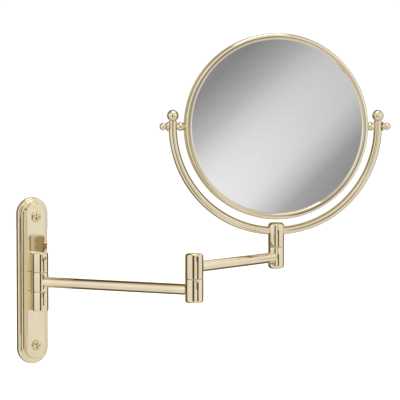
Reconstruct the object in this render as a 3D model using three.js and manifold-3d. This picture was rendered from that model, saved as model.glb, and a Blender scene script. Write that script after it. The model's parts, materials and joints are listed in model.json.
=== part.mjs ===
// Extendable shaving mirror: a stepped wall plate, a three-knuckle wall hinge, two round arms
// joined by a two-knuckle elbow, and a round two-sided mirror that tips in a half-ring yoke.
// Units are millimetres. The origin is the centre of the plate's back face, which lies on the
// wall plane Y = 0. -Y points into the room and +Z is up. The arms stand half folded.

import * as THREE from "three";
import { mergeVertices } from "three/addons/utils/BufferGeometryUtils.js";
import Module from "manifold-3d";

const wasm = await Module();
wasm.setup();

// Clearances.
const SEAT = 0.05;                 // between two fixed faces that seat on each other
const RUN = 0.15;                  // around anything that turns
const HINGE_GAP = 0.4;             // between two knuckles
const THROUGH = 1;                 // how far a cutting tool runs past the face it leaves

// Wall plate.
const PLATE_HEIGHT = 178;
const PLATE_WIDTH = 35.4;
const PLATE_DEPTH = 11.5;          // wall plane to the raised face
const PLATE_EDGE_DEPTH = 7.5;      // wall plane to the top of the outer edge
const PLATE_ROLL = 1.5;            // radius of the outer edge
const PLATE_BAND = 3.4;            // width of the band between the edge and the groove
const PLATE_GROOVE_DEPTH = 0.8;
const PLATE_FACE_WIDTH = 21.2;
const PLATE_FACE_BEVEL = 1;

// Screws through and into the plate.
const SCREW_SPACING = 137;
const SCREW_HEAD_R = 5.8;
const SCREW_HEAD_RISE = 2;
const SCREW_SHANK_R = 2.6;
const SCREW_LENGTH = 36;
const SCREW_POINT = 6;
const CROSS_LENGTH = 6.4;
const CROSS_WIDTH = 1.3;
const CROSS_DEPTH = 1.5;
const LUG_SCREW_R = 2;
const LUG_SCREW_HEAD_R = 3.8;
const LUG_SCREW_HEAD_H = 3;
const LUG_SCREW_GRIP = 4;          // thread above the plate's face, in the lug
const LUG_POCKET = 3.4;            // depth of its pocket in the plate's back

// Wall hinge.
const HINGE_Y = -21;               // axis in front of the wall
const HINGE_R = 8.7;
const HINGE_KNUCKLE_H = 20.2;
const HINGE_END = 1;               // rim of the barrel's two ends
const KNUCKLE_BEVEL = 0.6;         // rim of a knuckle where it meets the next one
const LUG_WEB_WIDTH = 10;
const LUG_WEB_INSET = 1.5;

// Pins, washers and grub screws, alike in all three hinges.
const PIN_R = 3.5;
const PIN_BEVEL = 0.5;
const WAIST_R = 2.9;
const WAIST_HALF = 2.2;
const WAIST_RISE = 4.6;            // from a joint up to the middle of the pin's waist
const WASHER_R = 6.2;
const WASHER_RECESS = 0.5;
const END_WALL = 4;                // metal left beyond a blind pin bore
const GRUB_R = 1.9;
const GRUB_SUNK = 0.6;
const GRUB_SLOT_WIDTH = 0.6;
const GRUB_SLOT_DEPTH = 0.8;

// Arms.
const TUBE_R = 5.6;
const TUBE_WALL = 1.2;
const SOCKET_BOTTOM = 4.8;         // from the hinge axis to the bottom of a tube socket
const INNER_ARM_LENGTH = 185.5;    // axis to axis
const OUTER_ARM_LENGTH = 158.5;    // axis to axis
const INNER_ARM_ANGLE = -61;       // rest direction in plan, in degrees from +X
const OUTER_ARM_ANGLE = 23.6;
const OUTER_ARM_Z = 23;            // the inner arm lies at Z = 0

// Elbow and head hinges.
const ELBOW_R = 9.5;
const ELBOW_CORNER = 2.6;
const ELBOW_BOTTOM = -13;
const ELBOW_JOINT = 11;
const ELBOW_TOP = 37;
const HEAD_R = 8.8;
const HEAD_CORNER = 3.6;
const HEAD_BOTTOM = 10.5;
const HEAD_JOINT = 34;
const HEAD_TOP = 60.5;
const HEAD_PIN_RISE = 11;          // from the joint up to the pin's top, below the yoke bar

// Yoke and tilt pivots.
const YOKE_ANGLE = -23.5;          // rest direction of the tilt axis in plan
const TILT_Z = 164.2;
const YOKE_BAR_R = 4.4;
const YOKE_R = 112.8;
const YOKE_END = 6.2;              // straight end of the bar above the tilt axis
const FINIAL_R = 6.3;
const FINIAL_SINK = 0.9;           // flat at the foot of the ball
const STUD_R = 1.5;
const STUD_LENGTH = 3;
const PIVOT_R = 2;
const PIVOT_BALL_R = 4;
const COLLAR_R = 5;
const COLLAR_LENGTH = 2.4;
const COLLAR_BEVEL = 1.2;
const BEAD_R = 4.6;
const BEAD_END_R = 3.2;
const BEAD_SIDE_PLAY = 0.3;
const BUSH_R = 3;
const BUSH_LENGTH = 8.8;
const BUSH_FLOOR = 1.4;

// Mirror head.
const RIM_R = 100;
const RIM_HALF_DEPTH = 10;
const RIM_WALL = 1.4;
const RIM_CORNER = 3;
const LIP_INNER_R = 94;
const LIP_THICKNESS = 2.4;
const LIP_BEVEL = 0.8;
const BEZEL_SPLIT = 6.6;           // from the centre plane to where the rear bezel meets the rim
const FLANGE_THICKNESS = 1;
const FLANGE_LENGTH = 2.4;
const GLASS_THICKNESS = 4;
const MAGNIFIER_THICKNESS = 3.4;
const MAGNIFIER_DISH = 4.6;        // how far the magnifying glass is hollowed at its centre
const SPACER_WIDTH = 10;

// Facets.
const ROUND = 28;                  // knuckle or tube
const SMALL_ROUND = 16;            // pin, screw, bead or ball
const BAR_ROUND = 12;
const BAR_STEPS = 44;
const PLATE_ROUND = 40;
const RIM_ROUND = 64;

// Materials.
function polishedBrass() {
  return new THREE.MeshStandardMaterial({ color: 0xe0d3ac, roughness: 0.12, metalness: 1 });
}

function nylon() {
  return new THREE.MeshStandardMaterial({ color: 0xefece2, roughness: 0.5, metalness: 0 });
}

function silveredGlass() {
  return new THREE.MeshStandardMaterial({ color: 0xc9cccb, roughness: 0.03, metalness: 1 });
}

function blackFoam() {
  return new THREE.MeshStandardMaterial({ color: 0x4a4a48, roughness: 0.9, metalness: 0 });
}

// Booleans between closed BufferGeometries.
function toManifold(geometry) {
  const bare = geometry.clone();
  bare.deleteAttribute("normal");
  bare.deleteAttribute("uv");
  const merged = mergeVertices(bare, 1e-4);
  const mesh = new wasm.Mesh({
    numProp: 3,
    vertProperties: Float32Array.from(merged.attributes.position.array),
    triVerts: Uint32Array.from(merged.index.array),
  });
  return new wasm.Manifold(mesh);
}

function fromManifold(solid) {
  const mesh = solid.getMesh();
  const indexed = new THREE.BufferGeometry();
  const corners = Float32Array.from(mesh.vertProperties);
  indexed.setAttribute("position", new THREE.BufferAttribute(corners, 3));
  indexed.setIndex(new THREE.BufferAttribute(Uint32Array.from(mesh.triVerts), 1));
  const geometry = indexed.toNonIndexed();
  geometry.computeVertexNormals();
  return geometry;
}

function cut(geometry, tools) {
  let solid = toManifold(geometry);
  for (const tool of tools) {
    solid = solid.subtract(toManifold(tool));
  }
  return fromManifold(solid);
}

function join(a, b) {
  return fromManifold(toManifold(a).add(toManifold(b)));
}

// Turned shapes. A profile is a list of [radius, height] that is turned about Z. It starts and
// ends on the axis, or for a ring it ends on its first point.
function turned(profile, facets) {
  const points = profile.map(([radius, height]) => new THREE.Vector2(radius, height));
  const geometry = new THREE.LatheGeometry(points, facets);
  geometry.rotateX(Math.PI / 2);
  return geometry;
}

function rod(radius, from, to, facets) {
  return turned([[0, from], [radius, from], [radius, to], [0, to]], facets);
}

function ring(inner, outer, from, to, facets) {
  return turned([[inner, from], [outer, from], [outer, to], [inner, to], [inner, from]], facets);
}

function arcPoints(centreR, centreH, radius, startDeg, endDeg, steps) {
  const points = [];
  for (let i = 0; i <= steps; i += 1) {
    const angle = THREE.MathUtils.degToRad(startDeg + ((endDeg - startDeg) * i) / steps);
    const r = centreR + radius * Math.cos(angle);
    points.push([Math.abs(r) < SEAT ? 0 : r, centreH + radius * Math.sin(angle)]);
  }
  return points;
}

// Placing. alongPlan lays a turned shape on a horizontal direction, and facingWall turns its
// +Z end towards -Y, into the room.
function alongPlan(geometry, deg, height) {
  geometry.rotateY(Math.PI / 2);
  geometry.rotateZ(THREE.MathUtils.degToRad(deg));
  geometry.translate(0, 0, height);
  return geometry;
}

function facingRoom(geometry) {
  geometry.rotateX(Math.PI / 2);
  return geometry;
}

function planDirection(deg) {
  const angle = THREE.MathUtils.degToRad(deg);
  return new THREE.Vector3(Math.cos(angle), Math.sin(angle), 0);
}

const wallCentre = new THREE.Vector3();
const hingeAxis = new THREE.Vector3(0, HINGE_Y, 0);
const elbowAxis = hingeAxis.clone().addScaledVector(planDirection(INNER_ARM_ANGLE), INNER_ARM_LENGTH);
const headAxis = elbowAxis.clone().addScaledVector(planDirection(OUTER_ARM_ANGLE), OUTER_ARM_LENGTH);
const tiltCentre = headAxis.clone().setZ(TILT_Z);
const hingePitch = HINGE_KNUCKLE_H + HINGE_GAP;
const hingeJoint = hingePitch / 2;
const hingeTop = hingeJoint + hingePitch - HINGE_GAP / 2;

const group = new THREE.Group();
group.name = "extendable_shaving_mirror";

function add(name, geometry, material, place) {
  geometry.translate(place.x, place.y, place.z);
  const mesh = new THREE.Mesh(geometry, material);
  mesh.name = name;
  group.add(mesh);
}

// Wall plate: a solid oblong with a rolled outer edge, a band, a groove and a raised face. It is
// turned as a round plate, parted across its middle and drawn out in Z.
function plateProfile() {
  const edge = PLATE_WIDTH / 2;
  const band = edge - PLATE_BAND;
  const face = PLATE_FACE_WIDTH / 2;
  const floor = PLATE_EDGE_DEPTH - PLATE_GROOVE_DEPTH;
  const roll = arcPoints(edge - PLATE_ROLL, PLATE_EDGE_DEPTH - PLATE_ROLL, PLATE_ROLL, 0, 90, 3);
  return [
    [0, 0],
    [edge, 0],
    ...roll,
    [band, PLATE_EDGE_DEPTH],
    [band, floor],
    [face + PLATE_FACE_BEVEL, floor],
    [face + PLATE_FACE_BEVEL, PLATE_DEPTH - PLATE_FACE_BEVEL],
    [face, PLATE_DEPTH],
    [0, PLATE_DEPTH],
  ];
}

function drawnOut(roundPlate) {
  const half = (PLATE_HEIGHT - PLATE_WIDTH) / 2;
  const position = roundPlate.attributes.position;
  for (let i = 0; i < position.count; i += 1) {
    const z = position.getZ(i);
    const onAxis = Math.abs(z) < SEAT;
    if (!onAxis) {
      position.setZ(i, z + Math.sign(z) * half);
    }
  }
  return roundPlate;
}

function plateDrill(profile, height) {
  const tool = facingRoom(turned(profile, SMALL_ROUND));
  tool.translate(0, 0, height);
  return tool;
}

function screwHole() {
  const clear = SEAT * 2;
  const sink = PLATE_DEPTH - SCREW_HEAD_R + SCREW_SHANK_R;
  return [
    [0, -THROUGH],
    [SCREW_SHANK_R + clear, -THROUGH],
    [SCREW_SHANK_R + clear, sink],
    [SCREW_HEAD_R + clear, PLATE_DEPTH],
    [SCREW_HEAD_R + clear, PLATE_DEPTH + THROUGH],
    [0, PLATE_DEPTH + THROUGH],
  ];
}

function lugScrewHole() {
  const clear = SEAT * 2;
  return [
    [0, -THROUGH],
    [LUG_SCREW_HEAD_R + clear, -THROUGH],
    [LUG_SCREW_HEAD_R + clear, LUG_POCKET],
    [LUG_SCREW_R + clear, LUG_POCKET],
    [LUG_SCREW_R + clear, PLATE_DEPTH + THROUGH],
    [0, PLATE_DEPTH + THROUGH],
  ];
}

function wallPlate() {
  const roundPlate = turned(plateProfile(), PLATE_ROUND);
  roundPlate.rotateZ(Math.PI / PLATE_ROUND);
  const drills = [];
  for (const side of [1, -1]) {
    drills.push(plateDrill(screwHole(), (side * SCREW_SPACING) / 2));
    drills.push(plateDrill(lugScrewHole(), side * hingePitch));
  }
  return cut(drawnOut(facingRoom(roundPlate)), drills);
}

// Wall screw: raised countersunk head with a cross recess, plain shank and pointed end.
function wallScrew() {
  const dome = (SCREW_HEAD_R ** 2 + SCREW_HEAD_RISE ** 2) / (2 * SCREW_HEAD_RISE);
  const domeTop = PLATE_DEPTH + SCREW_HEAD_RISE;
  const half = THREE.MathUtils.radToDeg(Math.asin(SCREW_HEAD_R / dome));
  const tip = PLATE_DEPTH - SCREW_LENGTH;
  const body = turned([
    [0, tip],
    [SCREW_SHANK_R, tip + SCREW_POINT],
    [SCREW_SHANK_R, PLATE_DEPTH - SCREW_HEAD_R + SCREW_SHANK_R],
    ...arcPoints(0, domeTop - dome, dome, 90 - half, 90, 4),
  ], SMALL_ROUND);
  const slots = [];
  for (const turn of [0, Math.PI / 2]) {
    const slot = new THREE.BoxGeometry(CROSS_LENGTH, CROSS_WIDTH, CROSS_DEPTH * 2);
    slot.rotateZ(turn);
    slot.translate(0, 0, domeTop);
    slots.push(slot);
  }
  return facingRoom(cut(body, slots));
}

// Lug screw: its slotted head sits in a pocket in the plate's back and its thread is in the lug.
function lugScrew() {
  const headBack = LUG_POCKET - SEAT - LUG_SCREW_HEAD_H;
  const end = PLATE_DEPTH + LUG_SCREW_GRIP;
  const body = turned([
    [0, headBack],
    [LUG_SCREW_HEAD_R, headBack],
    [LUG_SCREW_HEAD_R, LUG_POCKET - SEAT],
    [LUG_SCREW_R, LUG_POCKET - SEAT],
    [LUG_SCREW_R, end],
    [0, end],
  ], SMALL_ROUND);
  const slot = new THREE.BoxGeometry(GRUB_SLOT_WIDTH * 2, LUG_SCREW_HEAD_R * 3, GRUB_SLOT_DEPTH * 2);
  slot.translate(0, 0, headBack);
  return facingRoom(cut(body, [slot]));
}

// A knuckle: a round body with a rounded or bevelled rim at each end. The tools cut its pin bore,
// washer recess, tube socket and tapped holes.
function knuckle(radius, from, to, lowRim, highRim, tools) {
  const steps = (rim) => (rim > HINGE_END ? 4 : 1);
  const body = turned([
    [0, from],
    ...arcPoints(radius - lowRim, from + lowRim, lowRim, -90, 0, steps(lowRim)),
    ...arcPoints(radius - highRim, to - highRim, highRim, 0, 90, steps(highRim)),
    [0, to],
  ], ROUND);
  return cut(body, tools);
}

function pinBore(from, to) {
  return rod(PIN_R + RUN, from, to, SMALL_ROUND);
}

function washerRecess(joint) {
  return rod(WASHER_R + RUN, joint - HINGE_GAP / 2 - WASHER_RECESS, joint, SMALL_ROUND);
}

function tubeSocket(height, deg) {
  return alongPlan(rod(TUBE_R + SEAT, SOCKET_BOTTOM, ELBOW_R + THROUGH, ROUND), deg, height);
}

function grubHole(height, deg) {
  return alongPlan(rod(GRUB_R + SEAT, 0, ELBOW_R + THROUGH, SMALL_ROUND), deg, height);
}

// Nylon washer in its recess, standing just proud so that the knuckles never rub.
function washer(joint) {
  const bottom = joint - HINGE_GAP / 2 - WASHER_RECESS + SEAT;
  const top = joint + HINGE_GAP / 2 - SEAT;
  return ring(PIN_R + RUN, WASHER_R, bottom, top, SMALL_ROUND);
}

// Hinge pin with a waist that the grub screw's tip runs in.
function hingePin(from, to, waist) {
  return turned([
    [0, from],
    [PIN_R - PIN_BEVEL, from],
    [PIN_R, from + PIN_BEVEL],
    [PIN_R, waist - WAIST_HALF],
    [WAIST_R, waist - WAIST_HALF],
    [WAIST_R, waist + WAIST_HALF],
    [PIN_R, waist + WAIST_HALF],
    [PIN_R, to - PIN_BEVEL],
    [PIN_R - PIN_BEVEL, to],
    [0, to],
  ], SMALL_ROUND);
}

// Grub screw: headless, with a slot across its outer end.
function grubScrew(inner, outer) {
  const slot = new THREE.BoxGeometry(GRUB_SLOT_WIDTH, GRUB_R * 3, GRUB_SLOT_DEPTH * 2);
  slot.translate(0, 0, outer);
  return cut(rod(GRUB_R, inner, outer, SMALL_ROUND), [slot]);
}

function hingeGrubScrew(radius, height, deg) {
  return alongPlan(grubScrew(WAIST_R + RUN, radius - GRUB_SUNK), deg, height);
}

function armTube(length, height, deg) {
  const end = SOCKET_BOTTOM + SEAT;
  return alongPlan(ring(TUBE_R - TUBE_WALL, TUBE_R, end, length - end, ROUND), deg, height);
}

// Fixed lug of the wall hinge: a knuckle with a web that seats on the plate's face.
function hingeLug(from, to, lowRim, highRim, bores) {
  const middle = (from + to) / 2;
  const reach = -HINGE_Y - PLATE_DEPTH - SEAT;
  const web = new THREE.BoxGeometry(LUG_WEB_WIDTH, reach, HINGE_KNUCKLE_H - LUG_WEB_INSET * 2);
  web.translate(0, reach / 2, middle);
  const depth = LUG_SCREW_GRIP + SEAT + THROUGH;
  const tapped = new THREE.CylinderGeometry(LUG_SCREW_R + SEAT, LUG_SCREW_R + SEAT, depth, SMALL_ROUND);
  tapped.translate(0, reach + THROUGH - depth / 2, middle);
  return cut(join(knuckle(HINGE_R, from, to, lowRim, highRim, []), web), [tapped, ...bores]);
}

function upperLug() {
  const bore = pinBore(hingeJoint - THROUGH, hingeTop - END_WALL);
  return hingeLug(hingeJoint + HINGE_GAP / 2, hingeTop, KNUCKLE_BEVEL, HINGE_END, [bore]);
}

function lowerLug() {
  const bore = pinBore(-hingeTop - THROUGH, -hingeJoint);
  const bores = [bore, washerRecess(-hingeJoint)];
  return hingeLug(-hingeTop, -hingeJoint - HINGE_GAP / 2, HINGE_END, KNUCKLE_BEVEL, bores);
}

// Middle knuckle of the wall hinge, which carries the inner arm.
const innerGrubAngle = INNER_ARM_ANGLE + 90;
const innerWaist = hingeJoint - WAIST_RISE;
function innerArmKnuckle() {
  const half = HINGE_KNUCKLE_H / 2;
  return knuckle(HINGE_R, -half, half, KNUCKLE_BEVEL, KNUCKLE_BEVEL, [
    pinBore(-hingeTop, hingeTop),
    washerRecess(hingeJoint),
    tubeSocket(0, INNER_ARM_ANGLE),
    grubHole(innerWaist, innerGrubAngle),
  ]);
}

function wallHingePin() {
  return hingePin(-hingeTop + SEAT, hingeTop - END_WALL - SEAT, innerWaist);
}

// Elbow: the inner arm ends in the lower knuckle and the outer arm starts from the upper one.
const elbowGrubAngle = OUTER_ARM_ANGLE + 90;
const elbowWaist = ELBOW_JOINT + WAIST_RISE;
function elbowLowerKnuckle() {
  return knuckle(ELBOW_R, ELBOW_BOTTOM, ELBOW_JOINT - HINGE_GAP / 2, ELBOW_CORNER, KNUCKLE_BEVEL, [
    pinBore(ELBOW_BOTTOM + END_WALL, ELBOW_TOP),
    washerRecess(ELBOW_JOINT),
    tubeSocket(0, INNER_ARM_ANGLE + 180),
  ]);
}

function elbowUpperKnuckle() {
  return knuckle(ELBOW_R, ELBOW_JOINT + HINGE_GAP / 2, ELBOW_TOP, KNUCKLE_BEVEL, ELBOW_CORNER, [
    pinBore(ELBOW_JOINT - THROUGH, ELBOW_TOP - END_WALL),
    tubeSocket(OUTER_ARM_Z, OUTER_ARM_ANGLE),
    grubHole(elbowWaist, elbowGrubAngle),
  ]);
}

function elbowPin() {
  return hingePin(ELBOW_BOTTOM + END_WALL + SEAT, ELBOW_TOP - END_WALL - SEAT, elbowWaist);
}

// Yoke bar: a round bar bent to a half ring, with a short straight at each end.
class YokePath extends THREE.Curve {
  getPoint(t, target = new THREE.Vector3()) {
    const arc = Math.PI * YOKE_R;
    const run = t * (arc + YOKE_END * 2);
    if (run < YOKE_END) {
      return target.set(-YOKE_R, 0, YOKE_END - run);
    }
    if (run > arc + YOKE_END) {
      return target.set(YOKE_R, 0, run - arc - YOKE_END);
    }
    const angle = Math.PI + (run - YOKE_END) / YOKE_R;
    return target.set(YOKE_R * Math.cos(angle), 0, YOKE_R * Math.sin(angle));
  }
}

function yokeSweep(radius) {
  const corners = [];
  for (let i = 0; i < BAR_ROUND; i += 1) {
    const angle = (i / BAR_ROUND) * Math.PI * 2;
    corners.push(new THREE.Vector2(radius * Math.cos(angle), radius * Math.sin(angle)));
  }
  const section = new THREE.Shape(corners);
  const options = { steps: BAR_STEPS, bevelEnabled: false, extrudePath: new YokePath() };
  return new THREE.ExtrudeGeometry(section, options);
}

function yokeBar() {
  const tools = [alongPlan(rod(PIVOT_R + SEAT, -YOKE_R * 2, YOKE_R * 2, SMALL_ROUND), 0, 0)];
  for (const side of [-1, 1]) {
    const bottom = YOKE_END - STUD_LENGTH - SEAT;
    const bore = rod(STUD_R + SEAT, bottom, YOKE_END + THROUGH, SMALL_ROUND);
    bore.translate(side * YOKE_R, 0, 0);
    tools.push(bore);
  }
  return cut(yokeSweep(YOKE_BAR_R), tools);
}

// Head hinge: the outer arm ends in the lower knuckle and the upper one holds the yoke bar in a
// cross bore, locked by a grub screw from above.
const headGrubAngle = YOKE_ANGLE + 90;
const headWaist = HEAD_JOINT + WAIST_RISE;
const barTop = TILT_Z - YOKE_R + YOKE_BAR_R;
function headLowerKnuckle() {
  return knuckle(HEAD_R, HEAD_BOTTOM, HEAD_JOINT - HINGE_GAP / 2, HEAD_CORNER, KNUCKLE_BEVEL, [
    pinBore(HEAD_BOTTOM + END_WALL, HEAD_TOP),
    washerRecess(HEAD_JOINT),
    tubeSocket(OUTER_ARM_Z, OUTER_ARM_ANGLE + 180),
  ]);
}

function headUpperKnuckle() {
  const crossBore = swung(yokeSweep(YOKE_BAR_R + SEAT * 2));
  crossBore.translate(0, 0, TILT_Z);
  return knuckle(HEAD_R, HEAD_JOINT + HINGE_GAP / 2, HEAD_TOP, KNUCKLE_BEVEL, HEAD_CORNER, [
    pinBore(HEAD_JOINT - THROUGH, HEAD_JOINT + HEAD_PIN_RISE + SEAT),
    crossBore,
    grubHole(headWaist, headGrubAngle),
    rod(GRUB_R + SEAT, barTop, HEAD_TOP + THROUGH, SMALL_ROUND),
  ]);
}

function headPin() {
  return hingePin(HEAD_BOTTOM + END_WALL + SEAT, HEAD_JOINT + HEAD_PIN_RISE, headWaist);
}

function yokeGrubScrew() {
  return grubScrew(barTop + SEAT, HEAD_TOP - GRUB_SUNK);
}

// Pieces along the tilt axis are turned about Z with their height measured out from the mirror's
// centre, then laid to the left (-1) or right (+1).
function swung(geometry) {
  geometry.rotateZ(THREE.MathUtils.degToRad(YOKE_ANGLE));
  return geometry;
}

function onTiltAxis(geometry, side) {
  geometry.rotateY((side * Math.PI) / 2);
  return swung(geometry);
}

// Ball finial: a stud in the bar's end and a ball flattened where it seats.
function ballFinial(side) {
  const foot = YOKE_END + SEAT;
  const flat = FINIAL_R - FINIAL_SINK;
  const start = THREE.MathUtils.radToDeg(Math.asin(-flat / FINIAL_R));
  const finial = turned([
    [0, foot - STUD_LENGTH],
    [STUD_R, foot - STUD_LENGTH],
    [STUD_R, foot],
    ...arcPoints(0, foot + flat, FINIAL_R, start, 90, 7),
  ], SMALL_ROUND);
  finial.translate(side * YOKE_R, 0, 0);
  return swung(finial);
}

// Pivot screw: a ball to turn it by, seated on the collar, and a shank that ends in the rim's bush.
const yokeOuter = YOKE_R + YOKE_BAR_R;
const yokeInner = YOKE_R - YOKE_BAR_R;
const bushInner = RIM_R - BUSH_LENGTH;
function pivotScrew(side) {
  const seat = yokeOuter + COLLAR_LENGTH + SEAT;
  const reach = Math.sqrt(PIVOT_BALL_R ** 2 - PIVOT_R ** 2);
  const start = -THREE.MathUtils.radToDeg(Math.acos(PIVOT_R / PIVOT_BALL_R));
  const tip = bushInner + BUSH_FLOOR + RUN;
  return onTiltAxis(turned([
    [0, tip],
    [PIVOT_R, tip],
    ...arcPoints(0, seat + reach, PIVOT_BALL_R, start, 90, 7),
  ], SMALL_ROUND), side);
}

function pivotCollar(side) {
  const from = yokeOuter + SEAT;
  const to = yokeOuter + COLLAR_LENGTH;
  const bore = PIVOT_R + SEAT;
  return onTiltAxis(turned([
    [bore, from],
    [COLLAR_R, from],
    [COLLAR_R, to - COLLAR_BEVEL],
    [COLLAR_R - COLLAR_BEVEL, to],
    [bore, to],
    [bore, from],
  ], SMALL_ROUND), side);
}

// Bead: a barrel-shaped spacer that keeps the rim off the yoke.
function pivotBead(side) {
  const from = RIM_R + BEAD_SIDE_PLAY;
  const to = yokeInner - SEAT;
  const bulge = BEAD_R - BEAD_END_R;
  const steps = 4;
  const profile = [[PIVOT_R + RUN, from]];
  for (let i = 0; i <= steps; i += 1) {
    const t = i / steps;
    profile.push([BEAD_END_R + bulge * Math.sin(Math.PI * t), from + (to - from) * t]);
  }
  profile.push([PIVOT_R + RUN, to]);
  profile.push([PIVOT_R + RUN, from]);
  return onTiltAxis(turned(profile, SMALL_ROUND), side);
}

// Pivot bush: a blind sleeve riveted through the rim for the pivot screw's tip.
function pivotBush(side) {
  const bore = PIVOT_R + RUN;
  const floor = bushInner + BUSH_FLOOR;
  return onTiltAxis(turned([
    [0, bushInner],
    [BUSH_R, bushInner],
    [BUSH_R, RIM_R],
    [bore, RIM_R],
    [bore, floor],
    [0, floor],
  ], SMALL_ROUND), side);
}

// Mirror rings, turned about the mirror's own axis with their height measured towards the room.
const rimBore = RIM_R - RIM_WALL;
const lipBack = RIM_HALF_DEPTH - LIP_THICKNESS;
function mirrorRim() {
  const corner = RIM_HALF_DEPTH - RIM_CORNER;
  const hoop = facingRoom(turned([
    [rimBore, -BEZEL_SPLIT],
    [RIM_R, -BEZEL_SPLIT],
    ...arcPoints(RIM_R - RIM_CORNER, corner, RIM_CORNER, 0, 90, 3),
    [LIP_INNER_R + LIP_BEVEL, RIM_HALF_DEPTH],
    [LIP_INNER_R, RIM_HALF_DEPTH - LIP_BEVEL],
    [LIP_INNER_R, lipBack],
    [rimBore, lipBack],
    [rimBore, -BEZEL_SPLIT],
  ], RIM_ROUND));
  const bushHoles = alongPlan(rod(BUSH_R + SEAT, -RIM_R * 2, RIM_R * 2, SMALL_ROUND), 0, 0);
  return swung(cut(hoop, [bushHoles]));
}

// Rear bezel: the same lip for the magnifying glass, with a flange that springs into the hoop.
function rearBezel() {
  const split = -BEZEL_SPLIT - SEAT;
  const flangeOuter = rimBore - SEAT * 2;
  const flangeInner = flangeOuter - FLANGE_THICKNESS;
  const flangeEnd = split + FLANGE_LENGTH;
  const corner = RIM_CORNER - RIM_HALF_DEPTH;
  return swung(facingRoom(turned([
    [flangeInner, flangeEnd],
    [flangeInner, -lipBack],
    [LIP_INNER_R, -lipBack],
    [LIP_INNER_R, LIP_BEVEL - RIM_HALF_DEPTH],
    [LIP_INNER_R + LIP_BEVEL, -RIM_HALF_DEPTH],
    ...arcPoints(RIM_R - RIM_CORNER, corner, RIM_CORNER, -90, 0, 3),
    [RIM_R, split],
    [flangeOuter, split],
    [flangeOuter, flangeEnd],
    [flangeInner, flangeEnd],
  ], RIM_ROUND)));
}

function plainGlass() {
  const front = lipBack - SEAT;
  return swung(facingRoom(rod(rimBore - RUN, front - GLASS_THICKNESS, front, RIM_ROUND)));
}

// Magnifying glass: slumped to a shallow bowl. magnifierFace gives the height of its polished
// face at a radius.
const magnifierR = rimBore - FLANGE_THICKNESS - RUN * 2;
const magnifierSphere = (magnifierR ** 2 + MAGNIFIER_DISH ** 2) / (2 * MAGNIFIER_DISH);
function magnifierFace(radius) {
  const sag = magnifierSphere - Math.sqrt(magnifierSphere ** 2 - radius ** 2);
  return SEAT + MAGNIFIER_DISH - lipBack - sag;
}

function magnifyingGlass() {
  const rings = 3;
  const polished = [];
  const silvered = [];
  for (let i = 0; i <= rings; i += 1) {
    const radius = (magnifierR * i) / rings;
    polished.push([radius, magnifierFace(radius)]);
    silvered.unshift([radius, magnifierFace(radius) + MAGNIFIER_THICKNESS]);
  }
  return swung(facingRoom(turned([...polished, ...silvered], RIM_ROUND)));
}

// Foam ring that keeps the two glasses apart, inside the pivot bushes.
function glassSpacer() {
  const outer = bushInner - THROUGH;
  const inner = outer - SPACER_WIDTH;
  const front = lipBack - GLASS_THICKNESS - RUN;
  const back = magnifierFace(inner) + MAGNIFIER_THICKNESS + RUN;
  return swung(facingRoom(ring(inner, outer, back, front, RIM_ROUND / 2)));
}

// Assembly, from the wall outwards.
const ends = [["upper", 1], ["lower", -1]];
add("wall_plate", wallPlate(), polishedBrass(), wallCentre);
for (const [end, side] of ends) {
  const screwPlace = new THREE.Vector3(0, 0, (side * SCREW_SPACING) / 2);
  const lugPlace = new THREE.Vector3(0, 0, side * hingePitch);
  add(`wall_screw_${end}`, wallScrew(), polishedBrass(), screwPlace);
  add(`lug_screw_${end}`, lugScrew(), polishedBrass(), lugPlace);
  add(`wall_washer_${end}`, washer(side * hingeJoint), nylon(), hingeAxis);
}
add("hinge_lug_upper", upperLug(), polishedBrass(), hingeAxis);
add("hinge_lug_lower", lowerLug(), polishedBrass(), hingeAxis);
add("wall_hinge_pin", wallHingePin(), polishedBrass(), hingeAxis);

const innerGrub = hingeGrubScrew(HINGE_R, innerWaist, innerGrubAngle);
add("inner_arm_knuckle", innerArmKnuckle(), polishedBrass(), hingeAxis);
add("inner_arm_grub_screw", innerGrub, polishedBrass(), hingeAxis);
add("inner_arm_tube", armTube(INNER_ARM_LENGTH, 0, INNER_ARM_ANGLE), polishedBrass(), hingeAxis);
add("elbow_lower_knuckle", elbowLowerKnuckle(), polishedBrass(), elbowAxis);
add("elbow_pin", elbowPin(), polishedBrass(), elbowAxis);
add("elbow_washer", washer(ELBOW_JOINT), nylon(), elbowAxis);

const elbowGrub = hingeGrubScrew(ELBOW_R, elbowWaist, elbowGrubAngle);
const outerTube = armTube(OUTER_ARM_LENGTH, OUTER_ARM_Z, OUTER_ARM_ANGLE);
add("elbow_upper_knuckle", elbowUpperKnuckle(), polishedBrass(), elbowAxis);
add("elbow_grub_screw", elbowGrub, polishedBrass(), elbowAxis);
add("outer_arm_tube", outerTube, polishedBrass(), elbowAxis);
add("head_lower_knuckle", headLowerKnuckle(), polishedBrass(), headAxis);
add("head_pin", headPin(), polishedBrass(), headAxis);
add("head_washer", washer(HEAD_JOINT), nylon(), headAxis);

const headGrub = hingeGrubScrew(HEAD_R, headWaist, headGrubAngle);
add("head_upper_knuckle", headUpperKnuckle(), polishedBrass(), headAxis);
add("head_grub_screw", headGrub, polishedBrass(), headAxis);
add("yoke_grub_screw", yokeGrubScrew(), polishedBrass(), headAxis);
add("yoke_bar", swung(yokeBar()), polishedBrass(), tiltCentre);

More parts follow.
